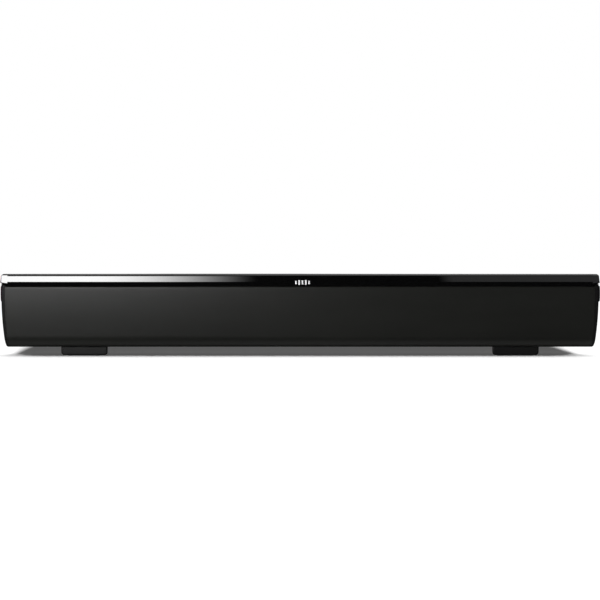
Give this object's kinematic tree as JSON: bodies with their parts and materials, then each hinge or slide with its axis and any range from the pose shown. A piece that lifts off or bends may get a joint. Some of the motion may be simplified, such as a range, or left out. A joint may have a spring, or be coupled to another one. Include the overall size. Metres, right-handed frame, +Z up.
{
  "type": "soundbar",
  "caption": "Low gloss-black soundbar with a cloth-covered curved front, rounded end caps, side keys and two wide set-back feet.",
  "frame": {"origin": "on the table under the middle of the body", "axes": "+X along the bar to the key end (right, seen from the front), -Y the grille's side, +Z up"},
  "size_m": [0.8025, 0.1122, 0.11],
  "materials": {
    "gloss_black": "high gloss",
    "satin_black": "fine textured",
    "cap_black": "gloss",
    "speaker_cloth": "woven",
    "badge_metal": "bright satin",
    "fibreboard": "moulded",
    "rubber": "matte",
    "steel_black": "satin",
    "zinc_steel": "zinc plated",
    "nickel": "nickel plated",
    "brass": "satin",
    "copper": "wound wire",
    "circuit_board": "solder mask",
    "components": "mixed",
    "coloured_plastic": "moulded in colour",
    "paper_cone": "coated paper",
    "dome_fabric": "coated silk",
    "spider_cloth": "resin-treated",
    "aluminium": "extruded"
  },
  "bodies": {
    "enclosure": {"aux_jack": "satin_black", "bass_ports": "satin_black", "board_components": "components", "bracket_inserts": "brass", "case_screws": "zinc_steel", "connector_plate": "steel_black", "control_board": "circuit_board", "driver_gaskets": "rubber", "driver_screws": "zinc_steel", "foot_pads": "rubber", "foot_screws": "zinc_steel", "front_badge": "badge_metal", "front_baffle": "fibreboard", "grille_cloth": "speaker_cloth", "grille_frame": "satin_black", "heat_sink": "aluminium", "inlet_pins": "nickel", "left_end_cap": "cap_black", "left_foot": "satin_black", "left_side_trim": "cap_black", "left_tweeter_housing": "satin_black", "left_woofer_basket": "steel_black", "left_woofer_motor": "zinc_steel", "left_woofer_spider": "spider_cloth", "left_woofer_surround": "rubber", "main_board": "circuit_board", "plate_screws": "zinc_steel", "power_board": "circuit_board", "power_inlet": "satin_black", "rca_insulators": "coloured_plastic", "rca_shells": "nickel", "rear_cabinet": "satin_black", "right_control_panel": "cap_black", "right_end_cap": "cap_black", "right_foot": "satin_black", "right_tweeter_housing": "satin_black", "right_woofer_basket": "steel_black", "right_woofer_motor": "zinc_steel", "right_woofer_spider": "spider_cloth", "right_woofer_surround": "rubber", "sensor_board": "circuit_board", "switch_bodies": "components", "top_cover": "gloss_black"},
    "power_key": {"power_button": "satin_black", "power_plunger": "components"},
    "source_key": {"source_button": "satin_black", "source_plunger": "components"},
    "volume_down_key": {"volume_down_button": "satin_black", "volume_down_plunger": "components"},
    "volume_up_key": {"volume_up_button": "satin_black", "volume_up_plunger": "components"},
    "left_woofer_diaphragm": {"left_woofer_cone": "paper_cone", "left_woofer_dust_cap": "paper_cone", "left_woofer_voice_coil": "copper"},
    "left_tweeter_diaphragm": {"left_tweeter_dome": "dome_fabric"},
    "right_woofer_diaphragm": {"right_woofer_cone": "paper_cone", "right_woofer_dust_cap": "paper_cone", "right_woofer_voice_coil": "copper"},
    "right_tweeter_diaphragm": {"right_tweeter_dome": "dome_fabric"}
  },
  "joints": [
    {"name": "power_press", "type": "slide", "parent": "enclosure", "child": "power_key", "axis": [-1, 0, 0], "range_m": [0, 0.0006], "stiffness_N_per_m": 1200},
    {"name": "source_press", "type": "slide", "parent": "enclosure", "child": "source_key", "axis": [-1, 0, 0], "range_m": [0, 0.0006], "stiffness_N_per_m": 1200},
    {"name": "volume_down_press", "type": "slide", "parent": "enclosure", "child": "volume_down_key", "axis": [-1, 0, 0], "range_m": [0, 0.0006], "stiffness_N_per_m": 1200},
    {"name": "volume_up_press", "type": "slide", "parent": "enclosure", "child": "volume_up_key", "axis": [-1, 0, 0], "range_m": [0, 0.0006], "stiffness_N_per_m": 1200},
    {"name": "left_woofer_stroke", "type": "slide", "parent": "enclosure", "child": "left_woofer_diaphragm", "axis": [0, -1, 0], "range_m": [-0.0025, 0.0025], "stiffness_N_per_m": 1500, "deforming": ["left_woofer_surround", "left_woofer_spider"]},
    {"name": "left_tweeter_stroke", "type": "slide", "parent": "enclosure", "child": "left_tweeter_diaphragm", "axis": [0, -1, 0], "range_m": [-0.0003, 0.0003], "stiffness_N_per_m": 4000},
    {"name": "right_woofer_stroke", "type": "slide", "parent": "enclosure", "child": "right_woofer_diaphragm", "axis": [0, -1, 0], "range_m": [-0.0025, 0.0025], "stiffness_N_per_m": 1500, "deforming": ["right_woofer_surround", "right_woofer_spider"]},
    {"name": "right_tweeter_stroke", "type": "slide", "parent": "enclosure", "child": "right_tweeter_diaphragm", "axis": [0, -1, 0], "range_m": [-0.0003, 0.0003], "stiffness_N_per_m": 4000}
  ]
}
